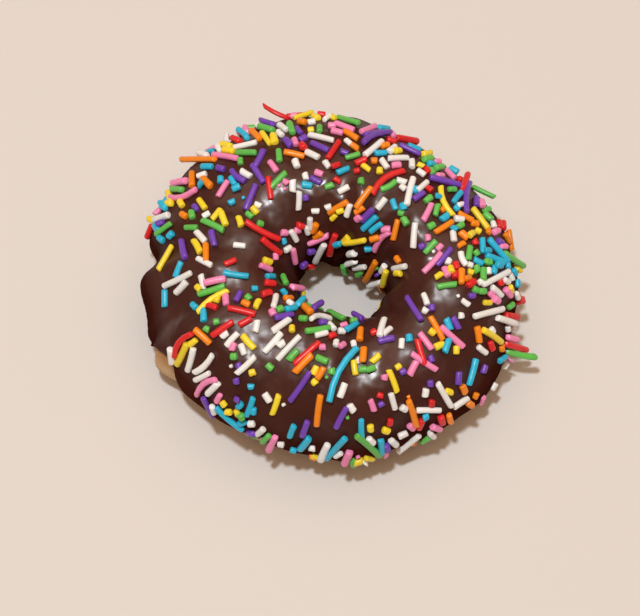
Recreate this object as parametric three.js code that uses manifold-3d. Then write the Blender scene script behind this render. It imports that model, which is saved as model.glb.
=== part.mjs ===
// A ring doughnut: fried dough, a thick skin of chocolate icing, and rod sprinkles stuck in the icing.
// Millimetres and degrees, +Z up. It lies on its flat underside. "around" is the angle round the ring from +X,
// and "across" is the angle round the ring's section: 0 outwards, 90 on top, 180 into the hole.

import * as THREE from 'three';
import { mergeVertices } from 'three/addons/utils/BufferGeometryUtils.js';
import Module from 'manifold-3d';

const wasm = await Module();
wasm.setup();

// The ring, measured to the outside of the icing
const outerReach = 43.4;      // hole centre to the rim, mean
const holeReach = 9.2;        // hole centre to the icing in the hole, mean
const crestShare = 0.4;       // where the top line lies between the hole and the rim
const waistHeight = 12.5;     // height of the widest line
const crestHeight = 30.7;     // height of the top line, mean
const bellyDepth = 16;        // how far a round underside would reach below the waist
const footprintCentre = [-0.5, 1.55];    // middle of the outline, from the hole's centre

// The icing
const icingDepth = 1.4;
const airGap = 0.70;          // between the icing's facets and the dough's
const earDepth = 1.4;         // extra icing on the bare lobe at the left
const rimLip = -10;           // "across" of the icing's lower edge outside, where it is neither high nor low
const holeLip = 206;          // and in the hole

// The sprinkles
const rodRadius = 0.76;
const rodSink = 0.5;
const rodSides = 5;
const rodSpacing = 1.75;      // least distance between the middle lines of rods laid by rule
const looseRods = 28;
const looseLength = [3.4, 5.8];
const looseSeed = 7;
const eyeTilt = 70;           // the chosen rods are placed as seen from this far above level,
const eyeDistance = 600;      // and from here
const leastFacing = 0.35;     // icing that faces the eye less than this is seen too flatly to place rods by
const steepest = 1.2;         // how much a chosen rod may run towards the eye for its seen length
const hiddenBy = 1.2;         // how far behind the icing a loose rod's ends are, seen from the eye

// Facets round the ring and across its section
const doughSteps = [58, 16];
const icingSteps = [66, 23];
const icingTopSteps = 11;     // of those across
const facetRise = 0.15;       // its corners stand this proud, so that its facets lie on the round on average
const packedAt = 182;         // steps round the ring are closest here, where the rim turns most,
const doughPacking = 22;      // by this much
const icingPacking = 38;

const radians = Math.PI / 180;

// 1 at an angle, falling to 0 on both sides of it
function swell(angle, at, spread) {
  const away = ((angle - at + 540) % 360) - 180;
  return Math.exp(-0.5 * (away / spread) ** 2);
}

// 1 between two angles, with soft ends
function stretch(angle, start, end, softness) {
  const rise = 1 / (1 + Math.exp((start - angle) / softness));
  const fall = 1 / (1 + Math.exp((angle - end) / softness));
  return rise * fall;
}

function wave(around, count, peak) {
  return Math.cos(count * (around - peak) * radians);
}

// The rim is fuller at the left, pressed in along the near side and at the right of the far side, and at the left
// it has a notch, a shallow dent under that, and a corner
function rimReach(around) {
  return outerReach + 3.0 * wave(around, 1, 178) + 1.1 * wave(around, 2, 160) + 0.4 * wave(around, 3, 5)
    - 1.35 * swell(around, 49, 12) - 3.4 * swell(around, 171.1, 3.1) - 2.9 * swell(around, 188.3, 6.3)
    + 3.3 * swell(around, 202.4, 3.7) - 2.95 * swell(around, 234, 21) - 1.4 * swell(around, 270, 18.5)
    - 0.65 * swell(around, 294.5, 4.7);
}

// The hole is a slanted oval with soft corners, a little fuller at its far side and its left
function throatReach(around) {
  return holeReach + 1.4 * wave(around, 2, -19) + 0.45 * wave(around, 4, 20)
    - 0.5 * swell(around, 118, 14) - 0.9 * swell(around, 168, 12);
}

// The slack, lumpy surface of risen dough: height, waves around, waves across, starting angle
const lumps = [
  [0.34, 8, 2, 20],
  [0.26, 13, -3, 140],
  [0.24, 5, 4, 260],
  [0.18, 17, 2, 75],
];

function lumpHeight(around, across) {
  let height = 0.35 * wave(around, 2, 60);
  for (const [size, turns, rolls, start] of lumps) {
    height += size * Math.sin((turns * around + rolls * across + start) * radians);
  }
  return height;
}

// The bare lobe where the icing slid down past the waist
function earWindow(around) {
  return stretch(around, 176, 194.8, 0.6);
}

// The ring's section at an angle: the reach of its top line, and its half width on the rim's side or the hole's
function section(around, outward) {
  const hole = throatReach(around);
  const rim = rimReach(around);
  const crest = hole + crestShare * (rim - hole);
  return { crest, halfWidth: outward > 0 ? rim - crest : crest - hole };
}

// A point on the ring, or a depth under it
function ringPoint(around, across, depth = 0) {
  const outward = Math.cos(across * radians);
  const upward = Math.sin(across * radians);
  const { crest, halfWidth } = section(around, outward);
  const halfHeight = upward > 0 ? crestHeight - waistHeight : bellyDepth;
  const proud = lumpHeight(around, across) - depth;
  const reach = crest + (halfWidth + proud) * outward;
  const height = waistHeight + (halfHeight + proud) * upward;
  return new THREE.Vector3(reach * Math.cos(around * radians), reach * Math.sin(around * radians), height);
}

function icingPoint(around, across, rise = 0) {
  return ringPoint(around, across, -rise - earDepth * earWindow(around) * swell(across, -5, 28));
}

// The icing's lower edge outside: down over the lobe, up where the dough shows beside it, level at the near side
function rimLipAcross(around) {
  return rimLip + 3 * wave(around, 5, 20) + 2 * wave(around, 9, 4)
    + 12 * swell(around, 250, 32) - 20 * earWindow(around)
    + 9 * swell(around, 173.5, 2) + 35 * stretch(around, 198.5, 209.4, 1.3);
}

function holeLipAcross(around) {
  return holeLip + 5 * wave(around, 3, 40) + 3 * wave(around, 7, 15);
}

// A closed ring of facets, with its corners moved to where place(around, step) puts them
function ringGeometry([stepsAround, stepsAcross], place) {
  const geometry = new THREE.TorusGeometry(outerReach, holeReach, stepsAcross, stepsAround);
  const { position, uv } = geometry.attributes;
  for (let i = 0; i < position.count; i++) {
    const around = 360 * (uv.getX(i) % 1);
    const step = Math.round(uv.getY(i) * stepsAcross) % stepsAcross;
    const spot = place(around, step);
    position.setXYZ(i, spot.x, spot.y, spot.z);
  }
  return withSharedCorners(geometry);
}

function withSharedCorners(geometry) {
  geometry.deleteAttribute('normal');
  geometry.deleteAttribute('uv');
  return mergeVertices(geometry);
}

function packedStep(evenly, packing) {
  return evenly - packing * Math.sin((evenly - packedAt) * radians);
}

// Dough, with the flat underside that it rests on
function doughGeometry() {
  return ringGeometry(doughSteps, (evenly, step) => {
    const around = packedStep(evenly, doughPacking);
    const spot = ringPoint(around, 360 * step / doughSteps[1], icingDepth + airGap);
    spot.z = Math.max(spot.z, 0);
    return spot;
  });
}

// Icing, a skin over the dough: along its outside from the rim's lip to the hole's, then back along its inside
function icingGeometry() {
  const insideSteps = icingSteps[1] - icingTopSteps - 2;
  return ringGeometry(icingSteps, (evenly, step) => {
    const around = packedStep(evenly, icingPacking);
    const outside = step <= icingTopSteps;
    const share = outside ? step / icingTopSteps : 1 - (step - icingTopSteps - 1) / insideSteps;
    const across = rimLip + share * (holeLip - rimLip)
      + (1 - share) ** 2 * (rimLipAcross(around) - rimLip) + share ** 2 * (holeLipAcross(around) - holeLip);
    return outside ? icingPoint(around, across, facetRise) : ringPoint(around, across, icingDepth - facetRise);
  });
}

function outwardAt([around, across]) {
  const step = 0.5;
  const alongRing = icingPoint(around + step, across).sub(icingPoint(around - step, across));
  const alongSection = icingPoint(around, across + step).sub(icingPoint(around, across - step));
  return alongRing.cross(alongSection).normalize();
}

// A rod with its middle line between two points. It bends sideways by bow in its middle.
function rodBetween(start, end, out, bow = 0) {
  const along = end.clone().sub(start);
  const length = along.length();
  along.normalize();
  const side = along.clone().cross(out).normalize();
  return { centre: start.clone().add(end).divideScalar(2), along, side, out, length, bow };
}

// A rod laid on the icing between two places, each [around, across]. It is straight, so on the round of the ring
// it stands off at its ends.
function laidRod(from, to) {
  const start = icingPoint(...from);
  const end = icingPoint(...to);
  const middle = [(from[0] + to[0]) / 2, (from[1] + to[1]) / 2];
  const out = outwardAt(middle);
  const bulge = Math.max(0, icingPoint(...middle).sub(start.clone().add(end).divideScalar(2)).dot(out));
  const stand = bulge + rodRadius - rodSink;
  return rodBetween(start.addScaledVector(out, stand), end.addScaledVector(out, stand), out);
}

// Its section has a corner down, towards the icing
function rodGeometry({ centre, along, side, out, length, bow }) {
  const geometry = new THREE.CylinderGeometry(
    rodRadius, rodRadius, length, rodSides, bow ? 2 : 1, false, Math.PI);
  const { position } = geometry.attributes;
  for (let i = 0; i < position.count; i++) {
    const share = 2 * position.getY(i) / length;
    const spot = centre.clone()
      .addScaledVector(along, position.getY(i))
      .addScaledVector(side, position.getX(i) + bow * (1 - share * share))
      .addScaledVector(out, position.getZ(i));
    position.setXYZ(i, spot.x, spot.y, spot.z);
  }
  return withSharedCorners(geometry);
}

const tilt = eyeTilt * radians;
const towardsEye = new THREE.Vector3(0, -Math.cos(tilt), Math.sin(tilt));
const waistMiddle = new THREE.Vector3(0, 0, waistHeight);
const eye = waistMiddle.clone().addScaledVector(towardsEye, eyeDistance);

// The icing that the eye sees at a distance right of the hole's centre and up from it: the line towards the eye,
// how far up it the icing is, and which way the icing faces. Past its outline it is the nearest icing.
function seenIcing(right, up) {
  const target = new THREE.Vector3(right, up * Math.sin(tilt), waistHeight + up * Math.cos(tilt));
  const toEye = eye.clone().sub(target).normalize();
  const ray = new THREE.Ray(target, toEye);
  let far = 40;
  let nearest = { miss: Infinity };
  for (let tried = far; tried > -40; tried -= 0.1) {
    const place = placeUnder(ray.at(tried, new THREE.Vector3()));
    if (place.miss < nearest.miss) {
      nearest = place;
      far = tried;
    }
    if (place.miss <= 0) break;
  }
  const { gap, out } = gapUnder(ray.at(far, new THREE.Vector3()));
  if (nearest.miss <= 0) far -= gap / Math.max(out.dot(toEye), leastFacing);
  return { ray, far, out, miss: nearest.miss };
}

// Whether the icing hides a point from the eye, with some to spare
function isHidden(point) {
  const behindWaist = point.clone().sub(waistMiddle).dot(towardsEye);
  const target = eye.clone().lerp(point, eyeDistance / (eyeDistance - behindWaist));
  const up = target.y * Math.sin(tilt) + (target.z - waistHeight) * Math.cos(tilt);
  const { ray, far, miss } = seenIcing(target.x, up);
  return miss <= 0 && point.clone().sub(target).dot(ray.direction) < far - hiddenBy;
}

// The icing's place nearest to a point, and how far past it the point is, as a share of the ring's half width
function placeUnder(point) {
  const around = (Math.atan2(point.y, point.x) / radians + 360) % 360;
  const reach = Math.hypot(point.x, point.y);
  const { crest } = section(around, 1);
  const { halfWidth } = section(around, reach - crest);
  const outward = (reach - crest) / halfWidth;
  const upward = (point.z - waistHeight) / (crestHeight - waistHeight);
  return { around, across: Math.atan2(upward, outward) / radians, miss: Math.hypot(outward, upward) - 1 };
}

// How far a point is off the icing, and which way the icing faces there
function gapUnder(point) {
  const { around, across } = placeUnder(point);
  const out = outwardAt([around, across]);
  return { gap: point.clone().sub(icingPoint(around, across)).dot(out), out };
}

// A rod that looks to the eye as if it lay between two places on the icing, each seen right and up. Where the
// icing runs away steeply it lies on its nearer end, and past the icing's outline it is lowered onto it.
function seenRod(right, up, endRight, endUp, bow) {
  const from = seenIcing(right, up);
  const to = seenIcing(endRight, endUp);
  const middle = seenIcing((right + endRight) / 2, (up + endUp) / 2);
  const least = Math.max(from.far, to.far) - steepest * Math.hypot(endRight - right, endUp - up);
  const far = Math.max(from.far, least);
  const endFar = Math.max(to.far, least);
  const bulge = Math.max(0, middle.far - (far + endFar) / 2);
  const start = from.ray.at(far + bulge, new THREE.Vector3());
  const end = to.ray.at(endFar + bulge, new THREE.Vector3());
  const [lowest] = [start, start.clone().add(end).divideScalar(2), end].map(gapUnder).sort((a, b) => a.gap - b.gap);
  for (const point of [start, end]) {
    point.addScaledVector(lowest.out, -Math.max(0, lowest.gap));
    point.addScaledVector(middle.out, rodRadius - rodSink);
  }
  return rodBetween(start, end, middle.out, bow);
}

// The rods that show best: right and up of the hole's centre at one end, then at the other, as seen,
// and the bow of a bent one
const chosenRods = [
  [-17.8, 43.3, -11.9, 40.3, 0.6], [-37.0, 30.7, -29.0, 30.7], [-29.7, 31.9, -23.9, 30.9],
  [-24.8, 33.5, -19.4, 34.7], [-20.6, 29.7, -17.8, 25.3], [-19.7, 25.1, -22.2, 19.0],
  [-16.9, 26.9, -16.2, 21.5], [-13.3, 32.5, -8.4, 31.4], [-7.3, 36.5, -1.4, 35.1],
  [-0.2, 35.1, -3.0, 30.9], [-39.6, 22.0, -33.5, 23.7, 0.8], [-32.3, 16.6, -27.2, 14.1],
  [-39.1, 10.5, -42.4, 4.7], [-22.5, 16.2, -14.3, 11.9, 0.4], [-27.6, 4.4, -21.5, 3.5],
  [-41.2, 1.2, -34.7, 4.4], [-3.7, 11.5, -5.9, 7.3], [5.2, 34.7, 11.7, 37.2, -0.8],
  [13.8, 34.2, 18.7, 31.9], [15.0, 28.3, 7.3, 22.7, 1.1], [7.3, 24.6, 3.5, 19.4],
  [17.1, 26.5, 15.5, 19.9], [20.8, 26.5, 28.1, 24.6], [23.2, 24.6, 26.2, 17.6, 0.9],
  [30.0, 25.5, 29.3, 18.5, 0.5], [30.9, 24.8, 36.3, 22.2], [30.7, 19.4, 34.4, 14.5],
  [26.2, 16.2, 22.0, 13.6], [1.9, 21.3, -2.8, 18.5], [17.6, 16.2, 17.1, 10.1],
  [11.7, 14.1, 8.2, 9.8, 0.5], [13.8, 16.9, 12.6, 11.9], [23.7, 8.9, 19.4, 4.2],
  [33.0, 1.4, 39.3, 4.7], [34.4, 12.2, 39.1, 6.8], [-33.3, -0.9, -26.9, 1.2],
  [-33.5, -5.2, -26.2, 0.0, -0.9], [-26.5, -4.0, -19.9, -5.6], [-38.9, -15.2, -34.7, -9.6, -0.9],
  [-34.2, -13.1, -35.6, -18.5], [-29.7, -14.8, -34.0, -19.0, -0.5], [-29.0, -20.4, -33.5, -24.1, 0.8],
  [-29.0, -26.9, -22.7, -32.3, 0.5], [-19.9, -15.2, -24.4, -19.4], [-13.8, -9.8, -18.0, -14.5],
  [-9.4, -10.5, -14.8, -16.2], [-4.9, -11.9, -11.0, -17.3], [-7.0, -18.7, -11.9, -25.8],
  [-4.7, -24.1, -5.6, -31.4], [-14.3, -24.1, -15.9, -28.8], [3.7, -13.1, -3.0, -26.0, 1.2],
  [15.5, -1.4, 19.0, -7.0], [20.8, -5.9, 23.9, -11.5], [23.2, -8.2, 28.6, -13.1],
  [30.9, -5.9, 37.9, -4.0], [33.0, -8.9, 37.5, -11.9], [38.4, -12.2, 43.3, -13.6],
  [38.9, -13.8, 45.4, -15.2, 0.4], [31.4, -15.7, 29.7, -22.0], [22.5, -21.3, 25.8, -26.9],
  [17.8, -11.2, 19.7, -17.3], [16.4, -14.5, 22.5, -18.5], [11.0, -18.3, 13.1, -23.7],
  [15.7, -25.3, 17.6, -31.4], [17.6, -27.6, 23.4, -27.6], [4.7, -29.7, 4.9, -35.1],
  [1.2, -34.0, -3.3, -38.9], [1.4, -26.9, -1.2, -31.9], [3.5, -33.5, 9.1, -38.2],
  [18.3, -33.3, 13.3, -37.2],
  [-22.2, 39.6, -19.2, 39.8], [-10.8, 40.3, -6.3, 41.7], [-32.1, 33.0, -29.3, 34.7, 0.4],
  [-26.7, 37.5, -23.7, 38.1], [-1.2, 39.3, 3.3, 37.5], [0.9, 37.5, 4.2, 35.4], [-16.6, 30.4, -14.8, 27.9],
  [-0.9, 27.6, 2.1, 28.8], [1.2, 31.1, 4.7, 32.1], [8.0, 32.1, 10.8, 32.3], [11.0, 30.9, 15.9, 31.1],
  [24.6, 28.3, 26.7, 26.2], [-26.2, 25.8, -28.6, 22.0], [-25.5, 28.3, -22.2, 25.5, 0.4],
  [-9.6, 23.7, -9.8, 19.2], [-7.0, 26.7, -4.4, 25.3], [-0.5, 23.2, 2.1, 24.6], [18.0, 23.4, 20.4, 25.5],
  [-33.0, 21.5, -31.4, 19.2], [-7.0, 17.6, -7.0, 14.8], [8.7, 17.8, 5.2, 14.5], [12.2, 21.5, 13.1, 19.0],
  [21.3, 20.6, 19.2, 16.4], [27.4, 18.3, 30.9, 16.4], [-45.0, 12.6, -43.8, 15.7],
  [-42.9, 13.3, -39.3, 15.9], [-37.0, 11.9, -36.1, 7.5], [-36.3, 14.8, -33.3, 14.8],
  [-25.1, 10.8, -22.2, 10.5], [-18.7, 12.4, -14.1, 8.9], [-11.9, 14.5, -10.3, 11.9],
  [-7.3, 11.5, -2.6, 13.6], [1.2, 11.5, 6.1, 12.2], [19.7, 8.9, 22.5, 11.9], [26.2, 14.1, 26.5, 11.5],
  [39.3, 14.5, 40.0, 9.6], [-31.4, 11.0, -31.4, 6.8], [-27.2, 6.1, -24.4, 7.3], [-19.2, 6.1, -16.4, 4.9],
  [-11.5, 10.3, -10.8, 6.8], [28.0, 9.2, 29.4, 5.9, 0.3], [31.0, 7.5, 33.3, 6.2], [33.8, 8.4, 38.2, 6.5],
  [-24.6, -2.6, -23.4, -0.2], [19.4, -0.7, 20.4, -3.4], [22.5, 0.9, 27.2, 1.6],
  [-30.2, -10.5, -25.1, -7.0], [-15.6, -6.4, -11.2, -5.5], [-13.1, -4.4, -10.5, -4.0],
  [-7.3, -6.7, -2.6, -6.6, -0.8], [2.9, -5.5, 5.2, -6.8], [10.3, -6.6, 9.1, -10.8],
  [26.0, -6.0, 27.6, -8.9], [-26.8, -12.9, -23.9, -9.7], [-23.4, -12.4, -22.4, -15.0],
  [-8.4, -9.6, -2.8, -8.7], [31.9, -12.8, 34.0, -14.4], [-5.5, -20.6, -3.8, -17.8],
  [7.1, -16.8, 9.2, -14.9], [27.4, -18.7, 27.2, -21.9], [-20.4, -24.6, -22.0, -29.0],
  [6.8, -25.2, 7.8, -28.0], [-10.8, -31.1, -11.9, -33.9], [-7.7, -30.1, -9.0, -33.7],
];

// Where few sprinkles stuck: around and its spread, across and its spread, and the share that is missing
const barePatches = [
  [187, 26, -15, 45, 1.0],
  [262, 34, 42, 17, 0.6],
  [95, 34, 152, 22, 0.75],
  [2, 16, 140, 20, 0.7],
  [300, 30, 60, 14, 0.3],
];

function shareThatSticks(around, across) {
  let share = 1;
  for (const [at, spread, height, rise, missing] of barePatches) {
    share *= 1 - missing * swell(around, at, spread) * swell(across, height, rise);
  }
  return share;
}

// Evenly spread draws from 0 to 1, the same each time
function drawsFrom(seed) {
  let state = seed;
  return () => {
    state = (state * 16807) % 2147483647;
    return state / 2147483647;
  };
}

// The least distance between the middle lines of two rods, by stations along them
function spacing(one, other) {
  if (one.centre.distanceTo(other.centre) > (one.length + other.length) / 2 + rodSpacing) return Infinity;
  let least = Infinity;
  for (let i = -2; i <= 2; i++) {
    const here = one.centre.clone().addScaledVector(one.along, i * one.length / 4);
    for (let j = -2; j <= 2; j++) {
      const there = other.centre.clone().addScaledVector(other.along, j * other.length / 4);
      least = Math.min(least, here.distanceTo(there));
    }
  }
  return least;
}

// Rods laid by rule where the eye doesn't see: a place by area and by what sticks there, any heading, and clear
// of the rods before it
function addLooseRods(rods) {
  const draw = drawsFrom(looseSeed);
  const wanted = rods.length + looseRods;
  while (rods.length < wanted) {
    const around = 360 * draw();
    const low = rimLipAcross(around) + 6;
    const across = low + (holeLipAcross(around) - 6 - low) * draw();
    const length = looseLength[0] + (looseLength[1] - looseLength[0]) * draw();
    const heading = 360 * draw() * radians;
    const luck = draw();
    const spot = icingPoint(around, across);
    const reach = Math.hypot(spot.x, spot.y);
    if (luck > shareThatSticks(around, across) * reach / outerReach) continue;
    const rounding = icingPoint(around, across + 1).distanceTo(icingPoint(around, across - 1)) / 2;
    const turn = length / 2 * Math.cos(heading) / reach / radians;
    const roll = length / 2 * Math.sin(heading) / rounding;
    const rod = laidRod([around - turn, across - roll], [around + turn, across + roll]);
    const ends = [-1, 1].map((side) => rod.centre.clone().addScaledVector(rod.along, side * length / 2));
    if (!ends.every(isHidden)) continue;
    if (rods.every((other) => spacing(rod, other) > rodSpacing)) rods.push(rod);
  }
}

function solidFrom(geometry) {
  return new wasm.Manifold(new wasm.Mesh({
    numProp: 3,
    vertProperties: geometry.attributes.position.array,
    triVerts: new Uint32Array(geometry.index.array),
  }));
}

function geometryFrom(solid) {
  const { vertProperties, triVerts } = solid.getMesh();
  const geometry = new THREE.BufferGeometry();
  geometry.setAttribute('position', new THREE.BufferAttribute(vertProperties, 3));
  geometry.setIndex(new THREE.BufferAttribute(triVerts, 1));
  geometry.computeVertexNormals();
  return geometry;
}

// Icing with its sprinkles stuck in it, one solid
function sprinkledIcingGeometry() {
  const rods = chosenRods.map((row) => seenRod(...row));
  addLooseRods(rods);
  let solid = solidFrom(icingGeometry());
  for (const rod of rods) solid = solid.add(solidFrom(rodGeometry(rod)));
  return geometryFrom(solid);
}

function namedMesh(name, geometry, colour, roughness) {
  const mesh = new THREE.Mesh(geometry, new THREE.MeshStandardMaterial({ color: colour, roughness, metalness: 0 }));
  mesh.name = name;
  return mesh;
}

const doughnut = new THREE.Group();
doughnut.add(namedMesh('dough', doughGeometry(), 0xb98a58, 0.75));
doughnut.add(namedMesh('icing', sprinkledIcingGeometry(), 0x4a241d, 0.3));
doughnut.position.set(-footprintCentre[0], -footprintCentre[1], 0);

export default doughnut;
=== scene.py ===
"""A sprinkle frosted doughnut: a ring of fried dough, chocolate icing, and rods of coloured sugar.

Sizes are in millimetres from the middle of the hole, at table height, and angles in degrees. "Around" is the
angle round the ring from +X, and "across" the one round its section: 0 outwards, 90 on top, 180 in the hole.
"""

import functools
import math

import bmesh
import bpy
from mathutils import Matrix, Vector, noise


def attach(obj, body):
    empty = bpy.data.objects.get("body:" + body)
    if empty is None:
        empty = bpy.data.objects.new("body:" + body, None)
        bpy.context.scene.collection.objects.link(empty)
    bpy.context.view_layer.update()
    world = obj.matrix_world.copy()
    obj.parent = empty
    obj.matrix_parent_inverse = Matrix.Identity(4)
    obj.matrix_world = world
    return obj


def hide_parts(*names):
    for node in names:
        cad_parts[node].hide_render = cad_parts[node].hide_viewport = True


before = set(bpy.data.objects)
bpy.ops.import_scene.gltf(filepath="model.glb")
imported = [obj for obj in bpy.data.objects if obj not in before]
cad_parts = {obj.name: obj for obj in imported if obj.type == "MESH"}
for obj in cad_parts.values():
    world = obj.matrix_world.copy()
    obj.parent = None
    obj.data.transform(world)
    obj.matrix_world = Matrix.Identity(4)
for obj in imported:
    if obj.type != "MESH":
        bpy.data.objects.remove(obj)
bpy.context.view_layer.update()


# ---- The table ----
# A sheet of pale paper under a small cool lamp overhead, with warm light from the ceiling and the whole room.
# None of it belongs to the doughnut. The camera looks down from the near side.

millimetre = 0.001
hole_centre = Vector((0.5, -1.55, 0.0))    # in the frame
waist_height = 12.5       # where the ring is widest


def in_frame(point):
    return (point + hole_centre) * millimetre


def paint(red, green, blue):
    """The linear colour of screen values from 0 to 255."""
    return [*(((value / 255 + 0.055) / 1.055) ** 2.4 for value in (red, green, blue)), 1.0]


def feed(tree, node, inputs):
    """Sets inputs of a node, by name or number, each to a value or to the output of another node."""
    for name, source in inputs.items():
        if isinstance(source, bpy.types.NodeSocket):
            tree.links.new(source, node.inputs[name])
        else:
            node.inputs[name].default_value = source


def new_finish(name, inputs):
    """A material, its node tree, and its shader with these inputs."""
    finish = bpy.data.materials.new(name)
    finish.use_nodes = True
    shader = finish.node_tree.nodes["Principled BSDF"]
    feed(finish.node_tree, shader, inputs)
    return finish, finish.node_tree, shader


def new_piece(name, mesh_maker, finish):
    """An object from a bmesh, smooth all over, with its finish. The bmesh is used up."""
    mesh = bpy.data.meshes.new(name)
    mesh_maker.to_mesh(mesh)
    mesh_maker.free()
    mesh.materials.append(finish)
    mesh.shade_smooth()
    piece = bpy.data.objects.new(name, mesh)
    bpy.context.scene.collection.objects.link(piece)
    return piece


paper_reach = 3.0
paper_finish = new_finish("pale_paper", {"Base Color": paint(221, 219, 217), "Roughness": 0.85})[0]
paper_maker = bmesh.new()
bmesh.ops.create_grid(paper_maker, x_segments=1, y_segments=1, size=paper_reach)
paper = new_piece("paper", paper_maker, paper_finish)

room = bpy.data.worlds.new("room")
room.use_nodes = True
room_glow = room.node_tree.nodes["Background"]
room_glow.inputs["Color"].default_value = (1.0, 0.69, 0.46, 1.0)
room_glow.inputs["Strength"].default_value = 0.24
bpy.context.scene.world = room


def hang_lamp(name, place, aim, size, power, colour):
    lamp = bpy.data.lights.new(name, "AREA")
    lamp.shape = "DISK"
    lamp.size = size
    lamp.energy = power
    lamp.color = colour
    holder = bpy.data.objects.new(name, lamp)
    holder.location = place
    holder.rotation_euler = (aim - place).to_track_quat("-Z", "Y").to_euler()
    bpy.context.scene.collection.objects.link(holder)


middle = in_frame(Vector((0.0, 0.0, waist_height)))
hang_lamp("overhead_lamp", middle + Vector((-0.09, -0.08, 1.1)), middle, 0.07, 7.1, (0.92, 0.97, 1.0))
hang_lamp("ceiling_glow", middle + Vector((0.0, 0.3, 1.6)), middle, 2.6, 15.0, (1.0, 0.70, 0.48))

view_tilt = 70.0          # above level
view_distance = 600.0
view_width = 149.9        # what the picture spans at the middle of the hole
view_shift = (-4.68, -3.75)    # the picture's middle, right and up from there

tilt = math.radians(view_tilt)
view_up = Vector((0.0, math.sin(tilt), math.cos(tilt)))
view_back = Vector((0.0, -math.cos(tilt), math.sin(tilt)))
lens = bpy.data.cameras.new("camera")
lens.sensor_width = 36.0
lens.lens = lens.sensor_width * view_distance / view_width
lens.clip_start = 0.01
camera = bpy.data.objects.new("camera", lens)
camera.location = middle + (Vector((view_shift[0], 0, 0)) + view_up * view_shift[1]
                            + view_back * view_distance) * millimetre
camera.rotation_euler = view_back.to_track_quat("Z", "Y").to_euler()
bpy.context.scene.collection.objects.link(camera)
bpy.context.scene.camera = camera
bpy.context.scene.view_settings.view_transform = "Standard"


# ---- The dough ----
# Raised dough, shaped by hand, proved and fried on both sides, so it has brown faces, a paler band where it
# floated, and a thin wrinkled crust. It lies on its flattened underside.

outer_reach = 43.4        # hole centre to the rim, mean, outside the icing
hole_reach = 9.2          # hole centre to the icing in the hole, mean
crest_share = 0.4         # where the top line lies between the hole and the rim
crest_height = 30.7
belly_depth = 16.0        # how far a round underside would reach below the waist
icing_depth = 1.4
dough_overlap = 0.15      # how far the crust reaches into the icing that stuck to it
dough_steps = (360, 96)
flat_softness = 0.5       # how gently the sides turn into the flat underside
flat_relief = 0.25        # how far the underside stands off the table where it is uneven


def swell(angle, at, spread):
    """1 at an angle, falling to 0 on both sides of it."""
    away = (angle - at + 540) % 360 - 180
    return math.exp(-0.5 * (away / spread) ** 2)


def stretch(angle, start, end, softness):
    """1 between two angles, with soft ends."""
    return 1 / (1 + math.exp((start - angle) / softness)) / (1 + math.exp((angle - end) / softness))


def wave(around, count, peak):
    return math.cos(count * math.radians(around - peak))


@functools.cache
def rim_reach(around):
    """The rim is fuller at the left, pressed in along the near side and at the right of the far side. At the
    left it has a notch, a shallow dent under that, and a corner."""
    return (outer_reach + 3.0 * wave(around, 1, 178) + 1.1 * wave(around, 2, 160) + 0.4 * wave(around, 3, 5)
            - 1.35 * swell(around, 49, 12) - 3.4 * swell(around, 171.1, 3.1) - 2.9 * swell(around, 188.3, 6.3)
            + 3.3 * swell(around, 202.4, 3.7) - 2.95 * swell(around, 234, 21) - 1.4 * swell(around, 270, 18.5)
            - 0.65 * swell(around, 294.5, 4.7))


@functools.cache
def throat_reach(around):
    """The hole is a slanted oval with soft corners, a little fuller at its far side and its left."""
    return (hole_reach + 1.4 * wave(around, 2, -19) + 0.45 * wave(around, 4, 20)
            - 0.5 * swell(around, 118, 14) - 0.9 * swell(around, 168, 12))


# The slack, lumpy surface of risen dough: height, waves around, waves across, starting angle
lumps = (
    (0.34, 8, 2, 20),
    (0.26, 13, -3, 140),
    (0.24, 5, 4, 260),
    (0.18, 17, 2, 75),
)


def lump_height(around, across):
    return 0.35 * wave(around, 2, 60) + sum(
        height * math.sin(math.radians(turns * around + rolls * across + start))
        for height, turns, rolls, start in lumps)


def section(around, outward):
    """The reach of the ring's top line at an angle, and its half width on the rim's side or the hole's."""
    hole, rim = throat_reach(around), rim_reach(around)
    crest = hole + crest_share * (rim - hole)
    return crest, (rim - crest if outward > 0 else crest - hole)


def ring_point(around, across, depth=0.0):
    """A point on the ring, or a depth under it."""
    turn, roll = math.radians(around), math.radians(across)
    crest, half_width = section(around, math.cos(roll))
    half_height = crest_height - waist_height if math.sin(roll) > 0 else belly_depth
    proud = lump_height(around, across) - depth
    reach = crest + (half_width + proud) * math.cos(roll)
    height = waist_height + (half_height + proud) * math.sin(roll)
    return Vector((reach * math.cos(turn), reach * math.sin(turn), height))


def spun_ring(steps, place):
    """A closed ring: a circle spun round the hole, each point moved to place(around, angle on the circle)."""
    maker = bmesh.new()
    upright = Matrix.Translation((outer_reach, 0, 0)) @ Matrix.Rotation(math.radians(90), 4, "X")
    bmesh.ops.create_circle(maker, segments=steps[1], radius=hole_reach, matrix=upright)
    bmesh.ops.spin(maker, geom=maker.verts[:] + maker.edges[:], axis=(0, 0, 1), angle=math.tau,
                   steps=steps[0], use_merge=True)
    for corner in maker.verts:
        x, y, z = corner.co
        around = round(math.degrees(math.atan2(y, x)), 3) % 360
        angle = round(math.degrees(math.atan2(z, math.hypot(x, y) - outer_reach)), 3) % 360
        corner.co = in_frame(place(around, angle))
    bmesh.ops.recalc_face_normals(maker, faces=maker.faces[:])
    return maker


def crust_relief(spot):
    """Blisters and fine wrinkles of the crust, which run up and down its sides."""
    blisters = 0.22 * noise.noise(spot / 5.2) + 0.1 * noise.noise(spot / 2.1)
    creases = abs(noise.noise(Vector((spot.x / 1.7, spot.y / 1.7, spot.z / 6.0))))
    return blisters - 0.28 * (1 - min(1.0, creases / 0.12)) ** 2


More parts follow.
